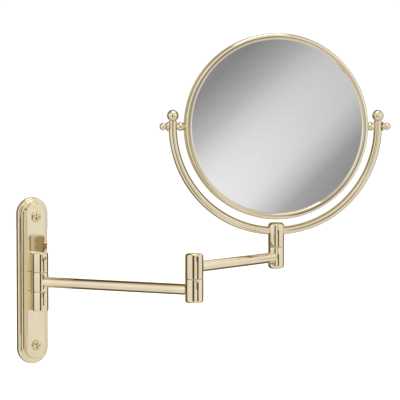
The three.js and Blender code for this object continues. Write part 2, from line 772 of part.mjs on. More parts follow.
const sides = [["left", -1], ["right", 1]];
for (const [hand, side] of sides) {
  add(`ball_finial_${hand}`, ballFinial(side), polishedBrass(), tiltCentre);
  add(`pivot_screw_${hand}`, pivotScrew(side), polishedBrass(), tiltCentre);
  add(`pivot_collar_${hand}`, pivotCollar(side), polishedBrass(), tiltCentre);
  add(`pivot_bead_${hand}`, pivotBead(side), polishedBrass(), tiltCentre);
  add(`pivot_bush_${hand}`, pivotBush(side), polishedBrass(), tiltCentre);
}
add("mirror_rim", mirrorRim(), polishedBrass(), tiltCentre);
add("rear_bezel", rearBezel(), polishedBrass(), tiltCentre);
add("plain_glass", plainGlass(), silveredGlass(), tiltCentre);
add("magnifying_glass", magnifyingGlass(), silveredGlass(), tiltCentre);
add("glass_spacer", glassSpacer(), blackFoam(), tiltCentre);

export default group;
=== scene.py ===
import json
import math
import bmesh
import bpy
from mathutils import Matrix, Vector


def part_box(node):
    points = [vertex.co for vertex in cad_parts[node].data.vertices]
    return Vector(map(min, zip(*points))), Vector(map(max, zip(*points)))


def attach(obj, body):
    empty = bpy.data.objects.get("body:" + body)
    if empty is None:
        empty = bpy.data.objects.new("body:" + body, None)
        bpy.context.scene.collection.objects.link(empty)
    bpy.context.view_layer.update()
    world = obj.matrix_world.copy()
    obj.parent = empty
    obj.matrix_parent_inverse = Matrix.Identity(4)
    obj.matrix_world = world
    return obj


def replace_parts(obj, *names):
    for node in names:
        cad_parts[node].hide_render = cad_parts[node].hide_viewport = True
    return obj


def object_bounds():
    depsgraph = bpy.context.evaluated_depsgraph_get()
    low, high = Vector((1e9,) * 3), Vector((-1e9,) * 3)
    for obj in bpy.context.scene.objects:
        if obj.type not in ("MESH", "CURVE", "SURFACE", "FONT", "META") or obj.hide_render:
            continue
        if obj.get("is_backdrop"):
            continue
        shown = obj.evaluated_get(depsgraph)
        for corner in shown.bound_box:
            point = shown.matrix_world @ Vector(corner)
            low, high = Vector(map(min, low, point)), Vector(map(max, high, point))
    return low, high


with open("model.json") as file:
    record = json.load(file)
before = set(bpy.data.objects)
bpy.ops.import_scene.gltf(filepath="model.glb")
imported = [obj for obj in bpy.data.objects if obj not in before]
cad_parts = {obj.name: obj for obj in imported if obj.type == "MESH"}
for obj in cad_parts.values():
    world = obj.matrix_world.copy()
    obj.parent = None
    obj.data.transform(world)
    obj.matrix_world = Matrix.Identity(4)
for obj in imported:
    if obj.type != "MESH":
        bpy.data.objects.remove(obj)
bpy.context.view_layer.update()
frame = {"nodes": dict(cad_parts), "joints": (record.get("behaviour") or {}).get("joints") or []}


# ---------------------------------------------------------------- wall plate
# An oblong brass pressing, 178 by 35 mm: a rounded outer edge, two narrow steps and a raised face.
# It was drawn, turned over at the edge, buffed on a soft mop and lacquered. Two countersunk holes
# take the wall screws, and two pockets in the back take the screws that hold the hinge lugs.

# Widths are measured from the plate's middle and depths from its back, all in millimetres.
MM = 0.001
PLATE_EDGE = 17.64
BACK_CORNER = 0.3
EDGE_MIDDLE = 1.8
PLATE_ROLL = 2.2           # radius of the rounded edge
FLANGE_DEPTH = 5.5
STEP_EDGE = 14.67
STEP_DEPTH = 7.0
STEP_CORNER = 0.2
TIGHT_CORNER = 0.08
SLOPE_FOOT = 12.25
SLOPE_FOOT_BREAK = 0.06
SLOPE_RISE = 0.4           # the slope's foot stands up this far before it leans in
FACE_EDGE = 10.6
FACE_DEPTH = 11.5
FACE_BEVEL = 1.0
END_GAP = 0.001            # keeps the plate's ends just inside the CAD shape's
PLATE_FACETS = 48          # round each end
SCREW_HEAD_R = 5.8
SCREW_SHANK_R = 2.6
SINK_START = 8.3           # where the countersink begins
SINK_END = 11.55
SHANK_GAP = 0.1
HEAD_GAP = 0.15
LUG_SCREW_R = 2.0
LUG_HEAD_R = 3.8
LUG_POCKET = 3.4
DRILL_START = -2.0
DRILL_END = 14.0
SHARP_EDGE = 32            # degrees: an edge sharper than this isn't shaded smooth


def curve(radius, height, bend, start, end, steps):
    """Points of an arc round (radius, height), in millimetres and degrees."""
    points = []
    for i in range(steps + 1):
        angle = math.radians(start + (end - start) * i / steps)
        points.append((radius + bend * math.cos(angle), height + bend * math.sin(angle)))
    return points


def round_spot(radius, angle, height):
    """A point at an angle round Z, taken from millimetres to metres."""
    return Vector((radius * math.cos(angle), radius * math.sin(angle), height)) * MM


def piece_from(name, bm):
    """Closes the mesh work and makes an object, smooth but for its sharp edges."""
    bmesh.ops.recalc_face_normals(bm, faces=bm.faces)
    mesh = bpy.data.meshes.new(name)
    bm.to_mesh(mesh)
    bm.free()
    mesh.shade_smooth()
    mesh.set_sharp_from_angle(angle=math.radians(SHARP_EDGE))
    piece = bpy.data.objects.new(name, mesh)
    bpy.context.scene.collection.objects.link(piece)
    return piece


def skin(bm, rings, closed=False):
    """Joins rings of points with faces. A ring of one point is a pole."""
    pairs = list(zip(rings, rings[1:]))
    if closed:
        pairs.append((rings[-1], rings[0]))
    for low, high in pairs:
        count = max(len(low), len(high))
        for i in range(count):
            j = (i + 1) % count
            corners = [
                low[i % len(low)], low[j % len(low)], high[j % len(high)], high[i % len(high)],
            ]
            bm.faces.new(list(dict.fromkeys(corners)))


def turned(name, outline, steps=128, closed=False):
    """A piece turned on a lathe: an outline of (radius, height) in mm, turned about Z."""
    bm = bmesh.new()
    rings = []
    for radius, height in outline:
        count = steps if radius else 1
        rings.append([
            bm.verts.new(round_spot(radius, 2 * math.pi * i / count, height)) for i in range(count)
        ])
    skin(bm, rings, closed)
    return piece_from(name, bm)


def machined(piece, tools, operation="DIFFERENCE"):
    """Cuts the tools out of a piece, or joins them to it, and throws the tools away."""
    for tool in tools:
        change = piece.modifiers.new("machined", "BOOLEAN")
        change.operation = operation
        change.solver = "EXACT"
        change.object = tool
    bpy.context.view_layer.update()
    ready = piece.evaluated_get(bpy.context.evaluated_depsgraph_get())
    mesh = bpy.data.meshes.new_from_object(ready)
    piece.modifiers.clear()
    piece.data = mesh
    mesh.shade_smooth()
    mesh.set_sharp_from_angle(angle=math.radians(SHARP_EDGE))
    for tool in tools:
        bpy.data.objects.remove(tool)


def laid(direction, at=Vector((0, 0, 0))):
    """Places a turned piece with its axis along a direction."""
    return Matrix.Translation(at) @ direction.to_track_quat("Z", "Y").to_matrix().to_4x4()


def plate_outline():
    """Half of the plate's section, from its back up two steps and a slope to the raised face.

    The extra points beside each corner keep the flats between them flat.
    """
    roll_centre = PLATE_EDGE - PLATE_ROLL
    return [
        (PLATE_EDGE - BACK_CORNER, 0), (PLATE_EDGE, BACK_CORNER), (PLATE_EDGE, EDGE_MIDDLE),
        *curve(roll_centre, FLANGE_DEPTH - PLATE_ROLL, PLATE_ROLL, 0, 90, 12),
        (roll_centre - 0.3, FLANGE_DEPTH), (STEP_EDGE + TIGHT_CORNER, FLANGE_DEPTH),
        (STEP_EDGE, FLANGE_DEPTH + TIGHT_CORNER), (STEP_EDGE, STEP_DEPTH - STEP_CORNER),
        (STEP_EDGE - STEP_CORNER, STEP_DEPTH), (STEP_EDGE - 2 * STEP_CORNER, STEP_DEPTH),
        (SLOPE_FOOT + TIGHT_CORNER, STEP_DEPTH), (SLOPE_FOOT, STEP_DEPTH + SLOPE_FOOT_BREAK),
        (SLOPE_FOOT, STEP_DEPTH + SLOPE_RISE),
        (FACE_EDGE + FACE_BEVEL, FACE_DEPTH - FACE_BEVEL - 0.1),
        *curve(FACE_EDGE, FACE_DEPTH - FACE_BEVEL, FACE_BEVEL, 0, 90, 8),
        (FACE_EDGE - 0.2, FACE_DEPTH), (FACE_EDGE - 0.8, FACE_DEPTH),
    ]


def plate_blank(half_height):
    """Rings of an oblong, from the back to the raised face, with flat faces to close them."""
    bm = bmesh.new()
    rings = []
    for half_width, depth in plate_outline():
        ring = []
        for end in (1, -1):
            for i in range(PLATE_FACETS + 1):
                angle = math.pi * i / PLATE_FACETS + (0 if end == 1 else math.pi)
                x = half_width * math.cos(angle)
                z = end * (half_height - PLATE_EDGE) + half_width * math.sin(angle)
                ring.append(bm.verts.new(Vector((x, -depth, z)) * MM))
        rings.append(ring)
    skin(bm, rings)
    bm.faces.new(rings[0])
    bm.faces.new(rings[-1])
    return piece_from("wall_plate_body", bm)


def drilled(profile, height):
    """A drill that cuts one of the plate's holes at a height, from the back into the room."""
    drill = turned("drill", [(0, DRILL_START), *profile, (0, DRILL_END)])
    drill.matrix_world = laid(into_room, Vector((0, 0, height)))
    return drill


plate_low, plate_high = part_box("wall_plate")
plate_half_height = (plate_high.z - plate_low.z) / 2 / MM - END_GAP
screw_heights = [sum(c.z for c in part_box(f"wall_screw_{end}")) / 2 for end in ("upper", "lower")]
lug_heights = [sum(c.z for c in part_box(f"hinge_lug_{end}")) / 2 for end in ("upper", "lower")]
into_room = Vector((0, -1, 0))

countersink = [
    (SCREW_SHANK_R + SHANK_GAP, DRILL_START), (SCREW_SHANK_R + SHANK_GAP, SINK_START),
    (SCREW_HEAD_R + HEAD_GAP, SINK_END), (SCREW_HEAD_R + HEAD_GAP, DRILL_END),
]
pocket = [
    (LUG_HEAD_R + SHANK_GAP, DRILL_START), (LUG_HEAD_R + SHANK_GAP, LUG_POCKET),
    (LUG_SCREW_R + SHANK_GAP, LUG_POCKET), (LUG_SCREW_R + SHANK_GAP, DRILL_END),
]
plate = plate_blank(plate_half_height)
drills = [drilled(countersink, height) for height in screw_heights]
drills += [drilled(pocket, height) for height in lug_heights]
machined(plate, drills)
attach(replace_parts(plate, "wall_plate"), "wall_mount")


def paint(colour):
    """An sRGB hex colour as linear red, green, blue and alpha."""
    parts = [int(colour[i:i + 2], 16) / 255 for i in (0, 2, 4)]
    return [p / 12.92 if p < 0.04045 else ((p + 0.055) / 1.055) ** 2.4 for p in parts] + [1]


def add(tree, kind, wires=None, stops=None, **settings):
    """Adds a node: its settings, the values or wires of its sockets, and a ramp's stops."""
    node = tree.nodes.new(kind)
    for key, value in settings.items():
        setattr(node, key, value)
    for socket, value in (wires or {}).items():
        if isinstance(value, bpy.types.NodeSocket):
            tree.links.new(value, node.inputs[socket])
        else:
            node.inputs[socket].default_value = value
    for i, (place, colour) in enumerate(stops or []):
        ramp = node.color_ramp.elements
        stop = ramp[i] if i < len(ramp) else ramp.new(place)
        stop.position = place
        stop.color = paint(colour)
    return node


def new_material(name):
    material = bpy.data.materials.new(name)
    material.use_nodes = True
    material.node_tree.nodes.clear()
    return material, material.node_tree


# Buffed and lacquered brass. The mop leaves hairlines about 0.05 mm apart, drawn here at 0.35 mm
# so that they show, on slow waves of about 14 mm. The tone drifts over 30 mm, there are tiny pits
# 5 mm apart, and the edges have lost some lacquer, so they are paler and duller. All in metres.
HAIRLINE = 0.00035
WAVE = 0.014
TONE_PATCH = 0.030
PIT_SPACING = 0.005
WAVE_DEPTH = 0.000007
HAIRLINE_DEPTH = 0.0000006
WORN_BRASS = "EFE5C8"
BUFFED_ROUGHNESS = {"To Min": 0.018, "To Max": 0.045}
EDGE_ROUGHNESS = 0.08      # added where an edge is worn
PIT_ROUGHNESS = 0.25       # added in a pit


def polished_brass(name, buffed=(1, 1, 1), light="E9DEC5", deep="E3D7BA"):
    material, tree = new_material(name)
    place = add(tree, "ShaderNodeTexCoord").outputs["Object"]
    stretched = add(tree, "ShaderNodeMapping", {"Vector": place, "Scale": buffed})
    lines = add(tree, "ShaderNodeTexNoise", {
        "Vector": stretched.outputs[0], "Scale": 1 / HAIRLINE, "Detail": 3, "Roughness": 0.6,
    })
    waves = add(tree, "ShaderNodeTexNoise", {"Vector": place, "Scale": 1 / WAVE, "Detail": 1})
    tone = add(tree, "ShaderNodeTexNoise", {"Vector": place, "Scale": 1 / TONE_PATCH, "Detail": 4})
    pits = add(tree, "ShaderNodeTexVoronoi", {"Vector": place, "Scale": 1 / PIT_SPACING})
    pit = add(tree, "ShaderNodeMapRange", {
        "Value": pits.outputs["Distance"], "From Min": 0.02, "From Max": 0.05,
        "To Min": 1, "To Max": 0,
    })
    edge = add(tree, "ShaderNodeMapRange", {
        "Value": add(tree, "ShaderNodeNewGeometry").outputs["Pointiness"],
        "From Min": 0.51, "From Max": 0.60,
    })
    colour = add(tree, "ShaderNodeValToRGB", {0: tone.outputs["Fac"]}, [
        (0.35, deep), (0.65, light),
    ])
    worn = add(tree, "ShaderNodeMix", {
        "Factor": edge.outputs[0], 6: colour.outputs[0], 7: paint(WORN_BRASS),
    }, data_type="RGBA")
    haze = add(tree, "ShaderNodeMapRange", {
        "Value": lines.outputs["Fac"], "From Min": 0.3, "From Max": 0.7, **BUFFED_ROUGHNESS,
    })
    rough = add(tree, "ShaderNodeMath", {
        0: edge.outputs[0], 1: EDGE_ROUGHNESS, 2: haze.outputs[0],
    }, operation="MULTIPLY_ADD")
    pitted = add(tree, "ShaderNodeMath", {
        0: pit.outputs[0], 1: PIT_ROUGHNESS, 2: rough.outputs[0],
    }, operation="MULTIPLY_ADD")
    slow = add(tree, "ShaderNodeBump", {
        "Height": waves.outputs["Fac"], "Strength": 1, "Distance": WAVE_DEPTH,
    })
    fine = add(tree, "ShaderNodeBump", {
        "Height": lines.outputs["Fac"], "Strength": 0.5, "Distance": HAIRLINE_DEPTH,
        "Normal": slow.outputs[0],
    })
    metal = add(tree, "ShaderNodeBsdfPrincipled", {
        "Base Color": worn.outputs[2], "Metallic": 1, "Roughness": pitted.outputs[0],
        "Normal": fine.outputs[0], "Coat Weight": 0.12, "Coat Roughness": 0.03,
    })
    add(tree, "ShaderNodeOutputMaterial", {"Surface": metal.outputs[0]})
    return material


plate_brass = polished_brass("plate_brass", buffed=(1, 1, 0.06))
plate.data.materials.append(plate_brass)


# ---------------------------------------------------------------- lug screws
# Two slotted cheese-head brass machine screws, M4, put in from the plate's back to draw the hinge
# lugs down onto its face. They are plain turned brass, left bright and not lacquered.
LUG_HEAD_H = 3.0
LUG_GRIP = 4.0             # how far the screw reaches into the lug
LUG_HEAD_BREAK = 0.25
M4_PITCH = 0.7
M4_THREAD_DEPTH = 0.35
SLOT_WIDTH = 1.2
SLOT_DEPTH = 1.8
SCREW_FACETS = 40
ROWS_PER_TURN = 8
THREAD_FLANK = 3.2         # the higher, the sharper the thread's ridge
POINT_START = 0.35         # share of the full radius at the screw's point


def threaded(name, start, end, crest, root, pitch, head):
    """A screw about Z: its thread from start to end, then its plain part and head, an outline."""
    bm = bmesh.new()
    rows = max(2, round((end - start) / pitch * ROWS_PER_TURN))
    rings = [[bm.verts.new((0, 0, start * MM))]]
    for i in range(rows + 1):
        height = start + (end - start) * i / rows
        taper = min(1, POINT_START + (height - start) / (pitch * 2))
        ring = []
        for k in range(SCREW_FACETS):
            turn = k / SCREW_FACETS
            phase = (height / pitch - turn) % 1
            ridge = max(0, 1 - abs(phase - 0.5) * THREAD_FLANK)
            radius = (root + (crest - root) * ridge) * taper
            ring.append(bm.verts.new(round_spot(radius, 2 * math.pi * turn, height)))
        rings.append(ring)
    for radius, height in head:
        count = SCREW_FACETS if radius else 1
        rings.append([
            bm.verts.new(round_spot(radius, 2 * math.pi * k / count, height)) for k in range(count)
        ])
    skin(bm, rings)
    return piece_from(name, bm)


def slot_cutter(length, width, depth, height):
    """A box tool about Z for a screw's slot, centred on a height."""
    bm = bmesh.new()
    bmesh.ops.create_cube(bm, size=1)
    bmesh.ops.scale(bm, vec=Vector((length, width, depth)) * MM, verts=bm.verts)
    bmesh.ops.translate(bm, vec=Vector((0, 0, height)) * MM, verts=bm.verts)
    return piece_from("slot", bm)


screw_brass = polished_brass("turned_screw_brass", (1, 1, 0.2), light="E2D4AC", deep="D8C795")
for end, height in zip(("upper", "lower"), lug_heights):
    tip = FACE_DEPTH + LUG_GRIP
    under = LUG_POCKET - 0.05
    back = under - LUG_HEAD_H
    screw = threaded(
        f"lug_screw_{end}_body", -tip, -under - 0.3,
        LUG_SCREW_R, LUG_SCREW_R - M4_THREAD_DEPTH, M4_PITCH, [
            (LUG_SCREW_R, -under), (LUG_HEAD_R - 0.15, -under), (LUG_HEAD_R, -under + 0.15),
            (LUG_HEAD_R, -back - LUG_HEAD_BREAK), (LUG_HEAD_R - LUG_HEAD_BREAK, -back), (0, -back),
        ],
    )
    machined(screw, [slot_cutter(LUG_HEAD_R * 3, SLOT_WIDTH, SLOT_DEPTH, -back)])
    screw.matrix_world = laid(-into_room, Vector((0, 0, height)))
    screw.data.materials.append(screw_brass)
    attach(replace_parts(screw, f"lug_screw_{end}"), "wall_mount")


# ---------------------------------------------------------------- hinge lugs
# The two fixed knuckles of the wall hinge, turned from solid brass bar, each with a web that seats
# on the plate's face. The rims are broken by hand, so each joint shows as a fine bright line.
joints = {joint["name"]: joint for joint in frame["joints"]}
wall_axis = Vector(joints["wall_swing"]["pos_m"])
HINGE_R = 8.7
RIM_BREAK = 0.6
HINGE_END = 1.0
FLAT_LEAD = 0.4            # a ring this far inside each rim keeps the flat end flat
WEB_WIDTH = 10.0
WEB_INSET = 1.5
WEB_ROUND = 1.2
WEB_SUNK = 2.4             # how far the web reaches into the knuckle
PIN_BORE_R = 3.65
WASHER_BORE_R = 6.35
WASHER_SUNK = 0.5
JOINT_LAP = 0.12           # each turning face stands this far into the 0.4 mm joint
PAST = 1.0                 # a cutting tool runs this far past the face
SNUG = 0.05                # gap between a piece and the one it sits in


def knuckle_outline(radius, low, high, low_rim, high_rim):
    """Outline of a solid knuckle, in mm, with a rounded or broken rim at each end."""
    low_steps, high_steps = (12 if rim > HINGE_END else 5 for rim in (low_rim, high_rim))
    return [
        (0, low), (radius - low_rim - FLAT_LEAD, low),
        *curve(radius - low_rim, low + low_rim, low_rim, -90, 0, low_steps),
        *curve(radius - high_rim, high - high_rim, high_rim, 0, 90, high_steps),
        (radius - high_rim - FLAT_LEAD, high), (0, high),
    ]


def bore(radius, low, high):
    """A plain drill about Z."""
    return turned("bore", [(0, low), (radius, low), (radius, high), (0, high)], 64)


def lug_web(low, high):
    """The web: a bar from inside the knuckle to the plate's face, its long edges rounded."""
    bm = bmesh.new()
    bmesh.ops.create_cube(bm, size=1)
    reach = -wall_axis.y / MM - FACE_DEPTH - SNUG
    start = HINGE_R - WEB_SUNK
    size = Vector((WEB_WIDTH, reach - start, high - low - 2 * WEB_INSET)) * MM
    middle = Vector((0, (reach + start) / 2, (low + high) / 2)) * MM
    bmesh.ops.scale(bm, vec=size, verts=bm.verts)
    bmesh.ops.translate(bm, vec=middle, verts=bm.verts)
    along = [e for e in bm.edges if abs((e.verts[0].co - e.verts[1].co).normalized().y) > 0.9]
    bmesh.ops.bevel(bm, geom=along, offset=WEB_ROUND * MM, segments=5, affect="EDGES")
    return piece_from("web", bm)


turned_brass = polished_brass("turned_brass", buffed=(0.06, 0.06, 1))
pin_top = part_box("wall_hinge_pin")[1].z / MM
for end in ("upper", "lower"):
    low, high = (c.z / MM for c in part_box(f"hinge_lug_{end}"))
    if end == "upper":
        low -= JOINT_LAP
        rims = (RIM_BREAK, HINGE_END)
        tools = [bore(PIN_BORE_R, low - PAST, pin_top + SNUG)]
    else:
        high += JOINT_LAP
        rims = (HINGE_END, RIM_BREAK)
        tools = [
            bore(PIN_BORE_R, low - PAST, high + PAST),
            bore(WASHER_BORE_R, high - WASHER_SUNK - JOINT_LAP, high + PAST),
        ]
    lug = turned(f"hinge_lug_{end}_body", knuckle_outline(HINGE_R, low, high, *rims))
    machined(lug, [lug_web(low, high)], "UNION")
    machined(lug, tools)
    lug.matrix_world = Matrix.Translation((wall_axis.x, wall_axis.y, 0))
    lug.data.materials.append(turned_brass)
    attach(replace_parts(lug, f"hinge_lug_{end}"), "wall_mount")


# ---------------------------------------------------------------- wall screws
# Two raised countersunk wood screws, brass, with a cross recess. The heads were polished with the
# plate, and the thread was rolled and left as it came.
HEAD_RISE = 2.0
HEAD_EDGE = 0.7            # upright part of the head above the plate
HEAD_BREAK = 0.25
CROSS_LENGTH = 6.4
CROSS_WIDTH = 1.3
CROSS_DEPTH = 1.5
WOOD_PITCH = 2.2
WOOD_ROOT_R = 1.75
PLAIN_SHANK = 4.0          # bare shank between the thread and the countersink

dome_r = SCREW_HEAD_R - HEAD_BREAK - 0.1
dome_rise = HEAD_RISE - HEAD_EDGE
dome = (dome_r ** 2 + dome_rise ** 2) / (2 * dome_rise)
dome_half = math.degrees(math.asin(dome_r / dome))
seat = FACE_DEPTH - SCREW_HEAD_R + SCREW_SHANK_R
crown = FACE_DEPTH + HEAD_RISE
for end, height in zip(("upper", "lower"), screw_heights):
    tip = -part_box(f"wall_screw_{end}")[1].y / MM
    screw = threaded(
        f"wall_screw_{end}_body", tip, seat - PLAIN_SHANK - 0.5,
        SCREW_SHANK_R, WOOD_ROOT_R, WOOD_PITCH, [
            (SCREW_SHANK_R - 0.1, seat - PLAIN_SHANK), (SCREW_SHANK_R - 0.1, seat),
            (SCREW_HEAD_R - 0.1, FACE_DEPTH - 0.1),
            (SCREW_HEAD_R - 0.1, FACE_DEPTH + HEAD_EDGE - HEAD_BREAK),
            *curve(0, crown - dome, dome, 90 - dome_half, 90, 8)[:-1], (0, crown),
        ],
    )
    machined(screw, [
        slot_cutter(CROSS_LENGTH, CROSS_WIDTH, CROSS_DEPTH * 2, crown),
        slot_cutter(CROSS_WIDTH, CROSS_LENGTH, CROSS_DEPTH * 2, crown),
    ])
    screw.matrix_world = laid(into_room, Vector((0, 0, height)))
    screw.data.materials.append(screw_brass)
    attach(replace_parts(screw, f"wall_screw_{end}"), "wall_mount")


# ---------------------------------------------------------------- inner arm
# A knuckle that turns between the two lugs, and a drawn brass tube, 11.2 mm across with a 1.2 mm
# wall, brazed into it. The tube's far end is brazed into the lower half of the elbow.
elbow_axis = Vector(joints["elbow_fold"]["pos_m"])
TUBE_R = 5.6
TUBE_WALL = 1.2
TUBE_RINGS = 12
SOCKET_BOTTOM = 4.85       # from the hinge's axis to the tube's end
SOCKET_MOUTH = 14.0
SOCKET_GAP = 0.03
ELBOW_R = 9.5
ELBOW_CORNER = 2.6
ROUND = 96                 # facets round a tube or a ball


def arm_tube(name, start, finish, height, brass):
    """A tube between two hinge axes, its ends hidden in the knuckles."""
    a = Vector((start.x, start.y, height * MM))
    b = Vector((finish.x, finish.y, height * MM))
    length = (b - a).length / MM
    low, high = SOCKET_BOTTOM, length - SOCKET_BOTTOM
    bore_r = TUBE_R - TUBE_WALL
    middle = [low + (high - low) * i / TUBE_RINGS for i in range(TUBE_RINGS + 1)]
    outline = [(TUBE_R, h) for h in middle] + [(bore_r, h) for h in reversed(middle)]
    tube = turned(name, outline, ROUND, closed=True)
    tube.matrix_world = laid((b - a).normalized(), a)
    tube.data.materials.append(brass)
    return tube


def socket(axis, other, height):
    """The hole in a knuckle that takes a tube coming from another axis."""
    bottom, radius = SOCKET_BOTTOM - 0.1, TUBE_R + SOCKET_GAP
    tool = turned("socket", [
        (0, bottom), (radius, bottom), (radius, SOCKET_MOUTH), (0, SOCKET_MOUTH),
    ], ROUND)
    direction = Vector((other.x - axis.x, other.y - axis.y, 0)).normalized()
    tool.matrix_world = laid(direction, Vector((0, 0, height * MM)))
    return tool


def knuckle(node, axis, radius, rims, tools, body, brass):
    """A turned knuckle standing on a hinge axis, machined and placed for the CAD node."""
    low, high = (c.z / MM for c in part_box(node))
    low -= JOINT_LAP if rims[0] == RIM_BREAK else 0
    high += JOINT_LAP if rims[1] == RIM_BREAK else 0
    piece = turned(f"{node}_body", knuckle_outline(radius, low, high, *rims))
    machined(piece, tools)
    piece.matrix_world = Matrix.Translation((axis.x, axis.y, 0))
    piece.data.materials.append(brass)
    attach(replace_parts(piece, node), body)


inner_height = 0.0         # of the inner tube's middle, above the plate's middle
low, high = (c.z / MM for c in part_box("inner_arm_knuckle"))
knuckle("inner_arm_knuckle", wall_axis, HINGE_R, (RIM_BREAK, RIM_BREAK), [
    bore(PIN_BORE_R, low - PAST, high + PAST),
    bore(WASHER_BORE_R, high - WASHER_SUNK, high + PAST),
    socket(wall_axis, elbow_axis, inner_height),
], "inner_arm", turned_brass)

tube_brass = polished_brass("drawn_tube_brass", buffed=(1, 1, 0.05))
tube = arm_tube("inner_arm_tube_body", wall_axis, elbow_axis, inner_height, tube_brass)
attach(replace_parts(tube, "inner_arm_tube"), "inner_arm")

low, high = (c.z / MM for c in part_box("elbow_lower_knuckle"))
pin_low, pin_high = (c.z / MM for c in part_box("elbow_pin"))
knuckle("elbow_lower_knuckle", elbow_axis, ELBOW_R, (ELBOW_CORNER, RIM_BREAK), [
    bore(PIN_BORE_R, pin_low - SNUG, high + PAST),
    bore(WASHER_BORE_R, high - WASHER_SUNK, high + PAST),
    socket(elbow_axis, wall_axis, inner_height),
], "inner_arm", turned_brass)


# ---------------------------------------------------------------- outer arm
# The upper half of the elbow, the same tube cut shorter, and the lower half of the head hinge,
# which is a little slimmer and has more rounded ends.
head_axis = Vector(joints["head_swivel"]["pos_m"])
HEAD_R = 8.8
HEAD_CORNER = 3.6

tube_low, tube_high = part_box("outer_arm_tube")
outer_height = (tube_low.z + tube_high.z) / 2 / MM
low, high = (c.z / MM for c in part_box("elbow_upper_knuckle"))
knuckle("elbow_upper_knuckle", elbow_axis, ELBOW_R, (RIM_BREAK, ELBOW_CORNER), [
    bore(PIN_BORE_R, low - PAST, pin_high + SNUG),
    socket(elbow_axis, head_axis, outer_height),
], "outer_arm", turned_brass)

tube = arm_tube("outer_arm_tube_body", elbow_axis, head_axis, outer_height, tube_brass)
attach(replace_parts(tube, "outer_arm_tube"), "outer_arm")

low, high = (c.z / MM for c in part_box("head_lower_knuckle"))
pin_low, pin_high = (c.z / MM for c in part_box("head_pin"))
knuckle("head_lower_knuckle", head_axis, HEAD_R, (HEAD_CORNER, RIM_BREAK), [
    bore(PIN_BORE_R, pin_low - SNUG, high + PAST),
    bore(WASHER_BORE_R, high - WASHER_SUNK, high + PAST),
    socket(head_axis, elbow_axis, outer_height),
], "outer_arm", turned_brass)


# ---------------------------------------------------------------- yoke
# An 8.8 mm brass bar bent to a half ring on a former and passed through the upper half of the head
# hinge. Bending leaves faint lines along the bar that the mop doesn't quite take out.
YOKE_R = 112.8
YOKE_BAR_R = 4.4
YOKE_END = 6.2             # the bar's ends stand this far above the pivots
END_BEVEL = 0.5
END_STEPS = 4
BEND_STEPS = 160
BAR_FACETS = 48
YOKE_SCREW_R = 1.95        # hole for the grub screw that locks the bar
tilt_centre = Vector(joints["mirror_tilt"]["pos_m"])
tilt_axis = Vector(joints["mirror_tilt"]["axis"])
tilt_up = Vector((0, 0, 1))
tilt_back = tilt_up.cross(tilt_axis)
yoke_turn = Matrix((tilt_axis, tilt_back, tilt_up)).transposed().to_4x4()
yoke_place = Matrix.Translation(tilt_centre) @ yoke_turn


def yoke_path():
    """Points of the bar's middle line and the directions out from the ring's centre."""
    points = []
    for i in range(END_STEPS):
        rise = YOKE_END * (1 - i / END_STEPS)
        points.append((Vector((-YOKE_R, 0, rise)), Vector((-1, 0, 0))))
    for i in range(BEND_STEPS + 1):
        angle = math.pi + math.pi * i / BEND_STEPS
        out = Vector((math.cos(angle), 0, math.sin(angle)))
        points.append((out * YOKE_R, out))
    for i in range(1, END_STEPS + 1):
        rise = YOKE_END * i / END_STEPS
        points.append((Vector((YOKE_R, 0, rise)), Vector((1, 0, 0))))
    return points


def bar_along(name, points, radius):
    """A round bar along the path, with a small bevel round each end."""
    bm = bmesh.new()
    down = Vector((0, 0, -END_BEVEL))
    (first, first_out), (last, last_out) = points[0], points[-1]
    path = [(first, first_out, radius - END_BEVEL), (first + down, first_out, radius)]
    path += [(spot, out, radius) for spot, out in points[1:-1]]
    path += [(last + down, last_out, radius), (last, last_out, radius - END_BEVEL)]
    rings = []
    for spot, out, r in path:
        ring = []
        for k in range(BAR_FACETS):
            angle = 2 * math.pi * k / BAR_FACETS
            outward, sideways = out * r * math.cos(angle), Vector((0, r * math.sin(angle), 0))
            ring.append(bm.verts.new((spot + outward + sideways) * MM))
        rings.append(ring)
    skin(bm, rings)
    bm.faces.new(rings[0])
    bm.faces.new(rings[-1])
    return piece_from(name, bm)


bar_brass = polished_brass("bent_bar_brass", buffed=(0.4, 1, 0.4))
yoke = bar_along("yoke_bar_body", yoke_path(), YOKE_BAR_R)
yoke.matrix_world = yoke_place
yoke.data.materials.append(bar_brass)
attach(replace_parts(yoke, "yoke_bar"), "yoke")

low, high = (c.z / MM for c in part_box("head_upper_knuckle"))
cross_bore = bar_along("cross_bore", yoke_path(), YOKE_BAR_R + SNUG)
cross_bore.matrix_world = Matrix.Translation((-head_axis.x, -head_axis.y, 0)) @ yoke_place
bar_crown = tilt_centre.z / MM - YOKE_R + YOKE_BAR_R
knuckle("head_upper_knuckle", head_axis, HEAD_R, (RIM_BREAK, HEAD_CORNER), [
    bore(PIN_BORE_R, low - PAST, pin_high + SNUG), cross_bore,
    bore(YOKE_SCREW_R, bar_crown - 0.2, high + PAST),
], "yoke", turned_brass)


# ---------------------------------------------------------------- ball finials
# Solid brass balls turned with a short neck and screwed onto the ends of the yoke bar.
FINIAL_R = 6.3
FINIAL_FOOT = 0.9
STUD_R = 1.5
STUD_LENGTH = 3.0

foot = YOKE_END + SNUG
stud_end = foot - STUD_LENGTH
ball_middle = foot + FINIAL_R - FINIAL_FOOT
ball_start = -math.degrees(math.asin((FINIAL_R - FINIAL_FOOT) / FINIAL_R))
for end, side in (("left", -1), ("right", 1)):
    ball = turned(f"ball_finial_{end}_body", [
        (0, stud_end), (STUD_R - 0.2, stud_end), (STUD_R, stud_end + 0.2), (STUD_R, foot),
        *curve(0, ball_middle, FINIAL_R, ball_start, 88, 36), (0, ball_middle + FINIAL_R),
    ], ROUND)
    ball.matrix_world = yoke_place @ Matrix.Translation((side * YOKE_R * MM, 0, 0))
    ball.data.materials.append(turned_brass)
    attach(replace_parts(ball, f"ball_finial_{end}"), "yoke")


